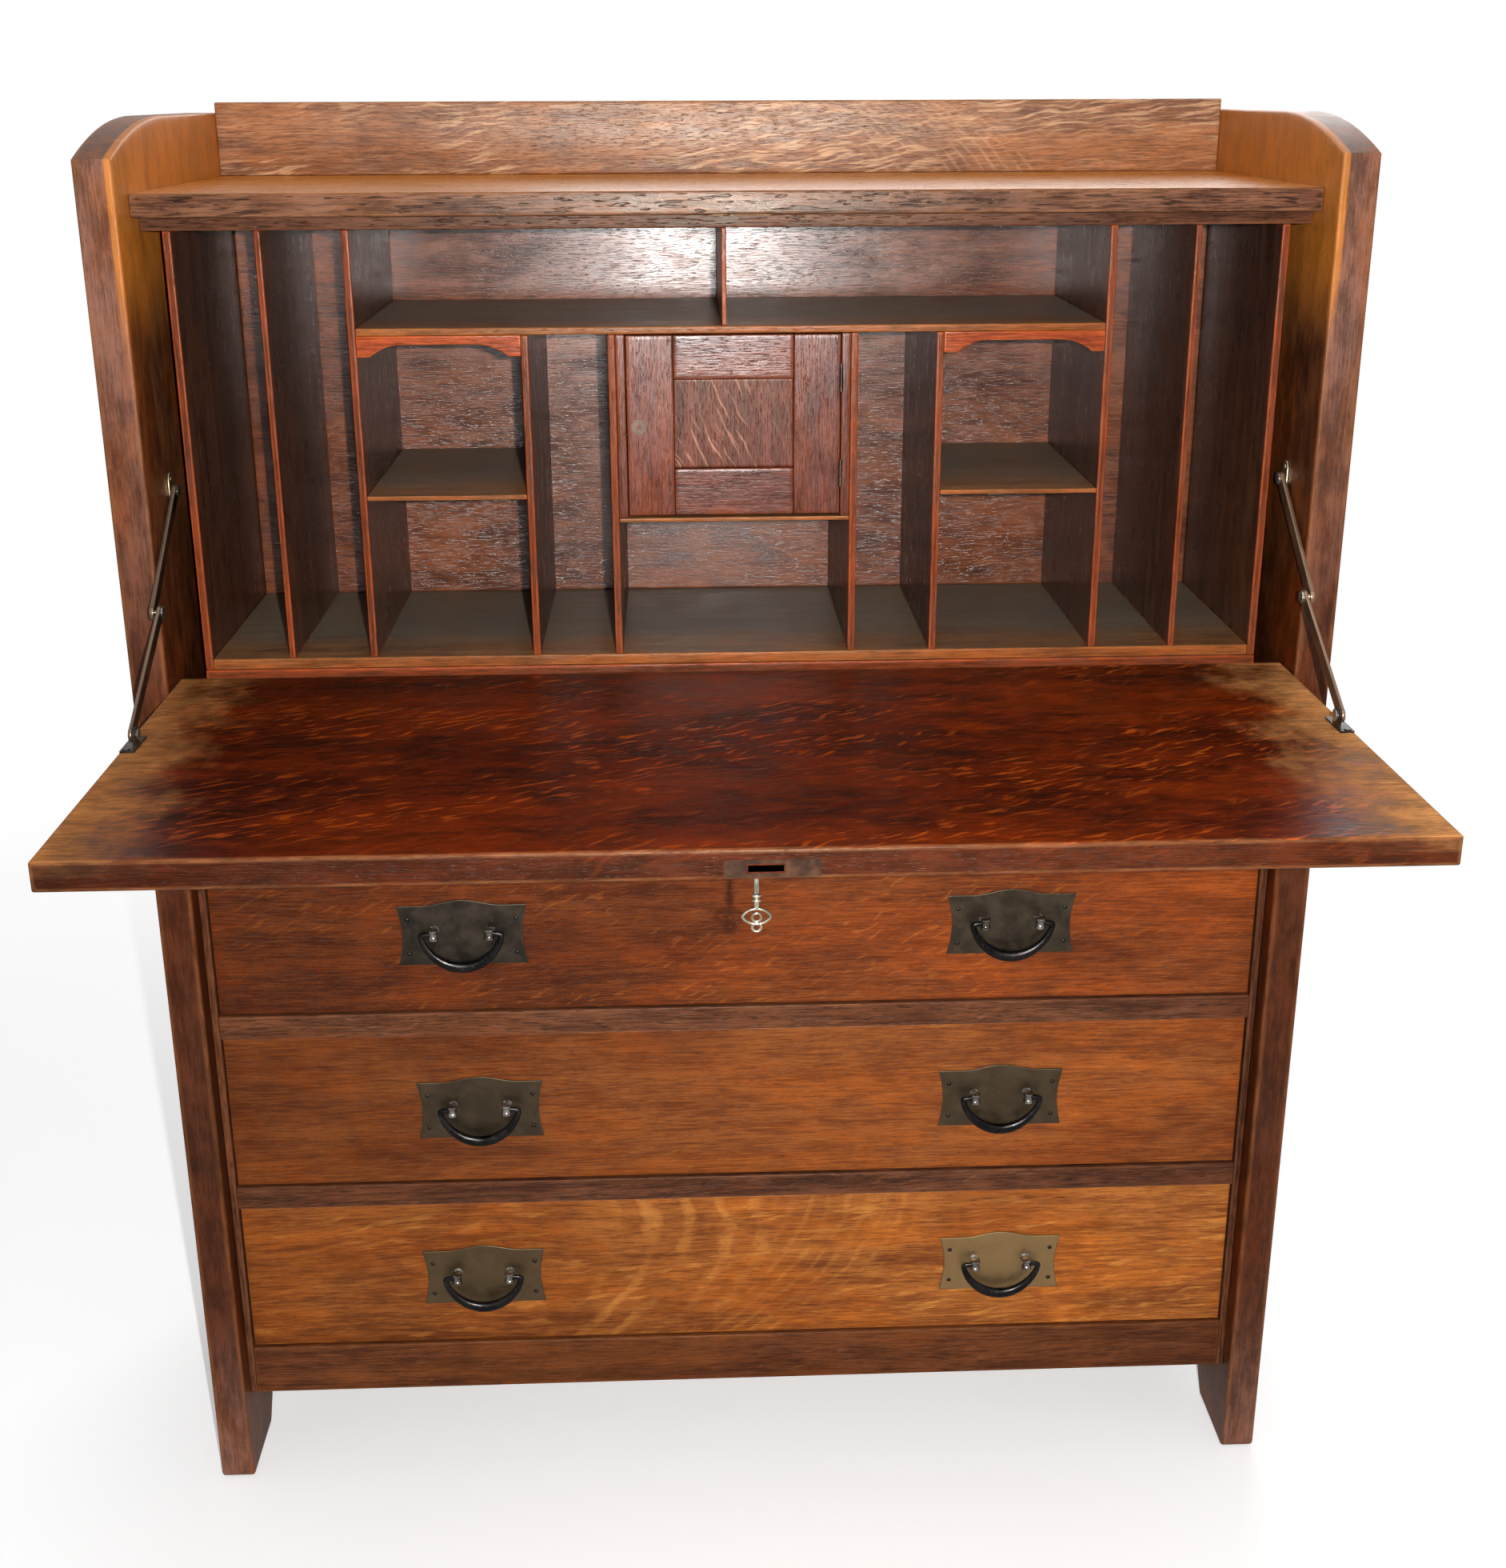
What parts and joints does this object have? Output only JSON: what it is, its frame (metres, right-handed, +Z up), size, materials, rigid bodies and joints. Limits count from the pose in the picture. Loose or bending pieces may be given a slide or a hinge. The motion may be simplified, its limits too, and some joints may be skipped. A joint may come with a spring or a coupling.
{
  "type": "fall-front desk",
  "caption": "Upright writing desk with a hinged fall on folding stays, a pigeonhole unit with a small cupboard, and drawers with bail pulls.",
  "frame": {"origin": "on the floor, midway between the two side panels, in the plane of their front edges. With the fall open this is also the bottom centre of the bounding box, to 4 mm", "axes": "+X to the viewer's right along the width, +Y to the back, +Z up from the floor"},
  "size_m": [0.965, 0.7025, 1.21],
  "materials": {
    "oak_case": "quartersawn oak, red-brown stain, satin",
    "oak_top": "oak, paler where the stain has faded",
    "oak_grey": "oak, greyish brown stain",
    "oak_fall": "quartersawn oak, deep red-brown, glossy",
    "oak_dark": "oak, dark brown stain",
    "oak_drawer": "quartersawn oak, orange-brown, satin",
    "box_wood": "plain secondary wood",
    "dark_bronze": "dark patinated brass",
    "bail_metal": "nearly black patina, worn bright in places",
    "brass": "dull brass",
    "steel": "dark steel",
    "key_metal": "worn steel"
  },
  "bodies": {
    "case": {"side_left": "oak_case", "side_right": "oak_case", "top_shelf": "oak_top", "gallery_board": "oak_grey", "stop_rail": "oak_grey", "bed_board": "oak_case", "case_back": "oak_dark", "drawer_rails": "oak_case", "bottom_rail": "oak_case", "frame_stiles": "oak_case", "frieze_board": "oak_case", "drawer_runners": "oak_dark", "unit_base": "oak_dark", "unit_floor": "oak_case", "unit_walls": "oak_case", "unit_top": "oak_dark", "unit_back": "oak_dark", "outer_dividers": "oak_case", "main_partitions": "oak_case", "inner_partitions": "oak_case", "centre_divider": "oak_case", "wide_shelf": "oak_case", "cubby_shelves": "oak_case", "valances": "oak_case", "door_shelf": "oak_case", "door_jambs": "oak_case", "bed_hinges": "brass", "stay_brackets": "steel", "keeper_plate": "brass", "jamb_hinges": "brass"},
    "fall": {"fall_board": "oak_fall", "fall_lock": "brass", "stay_feet": "steel", "fall_hinges": "brass"},
    "bolt": {"lock_bolt": "brass"},
    "key": {"key": "key_metal"},
    "stay_upper_left": {"stay_upper_left": "steel"},
    "stay_upper_right": {"stay_upper_right": "steel"},
    "stay_lower_left": {"stay_lower_left": "steel"},
    "stay_lower_right": {"stay_lower_right": "steel"},
    "cupboard_door": {"door_frame": "oak_case", "door_panel": "oak_case", "door_fittings": "brass"},
    "drawer_1": {"drawer_1_front": "oak_drawer", "drawer_1_box": "box_wood", "drawer_1_pulls": "dark_bronze"},
    "bail_1_left": {"bail_1_left": "bail_metal"},
    "bail_1_right": {"bail_1_right": "bail_metal"},
    "drawer_2": {"drawer_2_front": "oak_drawer", "drawer_2_box": "box_wood", "drawer_2_pulls": "dark_bronze"},
    "bail_2_left": {"bail_2_left": "bail_metal"},
    "bail_2_right": {"bail_2_right": "bail_metal"},
    "drawer_3": {"drawer_3_front": "oak_drawer", "drawer_3_box": "box_wood", "drawer_3_pulls": "dark_bronze"},
    "bail_3_left": {"bail_3_left": "bail_metal"},
    "bail_3_right": {"bail_3_right": "bail_metal"}
  },
  "joints": [
    {"name": "fall_hinge", "type": "hinge", "parent": "case", "child": "fall", "pos_m": [0, 0.0345, 0.7455], "axis": [-1, 0, 0], "range_deg": [0, 90]},
    {"name": "key_turn", "type": "hinge", "parent": "fall", "child": "key", "pos_m": [0.0012, -0.3265, 0.74], "axis": [0, 0, 1], "range_deg": [-180.1, 0]},
    {"name": "bolt_slide", "type": "slide", "parent": "fall", "child": "bolt", "axis": [0, 1, 0], "range_m": [-0.008, 0]},
    {"name": "stay_upper_left_pivot", "type": "hinge", "parent": "case", "child": "stay_upper_left", "pos_m": [-0.449, 0.0665, 0.915], "axis": [1, 0, 0], "range_deg": [0, 67.41]},
    {"name": "stay_upper_right_pivot", "type": "hinge", "parent": "case", "child": "stay_upper_right", "pos_m": [0.449, 0.0665, 0.915], "axis": [1, 0, 0], "range_deg": [0, 67.41]},
    {"name": "stay_lower_left_pivot", "type": "hinge", "parent": "fall", "child": "stay_lower_left", "pos_m": [-0.445, -0.135, 0.7775], "axis": [-1, 0, 0], "range_deg": [0, 16.03]},
    {"name": "stay_lower_right_pivot", "type": "hinge", "parent": "fall", "child": "stay_lower_right", "pos_m": [0.445, -0.135, 0.7775], "axis": [-1, 0, 0], "range_deg": [0, 16.03]},
    {"name": "cupboard_hinge", "type": "hinge", "parent": "case", "child": "cupboard_door", "pos_m": [0.08575, 0.0584, 0.965], "axis": [0, 0, -1], "range_deg": [-95, 0]},
    {"name": "drawer_1_slide", "type": "slide", "parent": "case", "child": "drawer_1", "axis": [0, -1, 0], "range_m": [0, 0.23]},
    {"name": "bail_1_left_swing", "type": "hinge", "parent": "drawer_1", "child": "bail_1_left", "pos_m": [-0.235, 0.0129, 0.544], "axis": [-1, 0, 0], "range_deg": [0, 85]},
    {"name": "bail_1_right_swing", "type": "hinge", "parent": "drawer_1", "child": "bail_1_right", "pos_m": [0.2345, 0.0129, 0.544], "axis": [-1, 0, 0], "range_deg": [0, 85]},
    {"name": "drawer_2_slide", "type": "slide", "parent": "case", "child": "drawer_2", "axis": [0, -1, 0], "range_m": [0, 0.23]},
    {"name": "bail_2_left_swing", "type": "hinge", "parent": "drawer_2", "child": "bail_2_left", "pos_m": [-0.228, 0.0129, 0.375], "axis": [-1, 0, 0], "range_deg": [0, 85]},
    {"name": "bail_2_right_swing", "type": "hinge", "parent": "drawer_2", "child": "bail_2_right", "pos_m": [0.2315, 0.0129, 0.375], "axis": [-1, 0, 0], "range_deg": [0, 85]},
    {"name": "drawer_3_slide", "type": "slide", "parent": "case", "child": "drawer_3", "axis": [0, -1, 0], "range_m": [0, 0.23]},
    {"name": "bail_3_left_swing", "type": "hinge", "parent": "drawer_3", "child": "bail_3_left", "pos_m": [-0.233, 0.0129, 0.203], "axis": [-1, 0, 0], "range_deg": [0, 85]},
    {"name": "bail_3_right_swing", "type": "hinge", "parent": "drawer_3", "child": "bail_3_right", "pos_m": [0.2375, 0.0129, 0.203], "axis": [-1, 0, 0], "range_deg": [0, 85]}
  ],
  "couplings": [
    {"joint": "key_turn", "follows": "bolt_slide", "rad_per_m": 392.7},
    {"joint": "stay_upper_left_pivot", "follows": "fall_hinge", "ratio": 0.74896},
    {"joint": "stay_upper_right_pivot", "follows": "fall_hinge", "ratio": 0.74896},
    {"joint": "stay_lower_left_pivot", "follows": "fall_hinge", "ratio": 0.17804},
    {"joint": "stay_lower_right_pivot", "follows": "fall_hinge", "ratio": 0.17804}
  ]
}
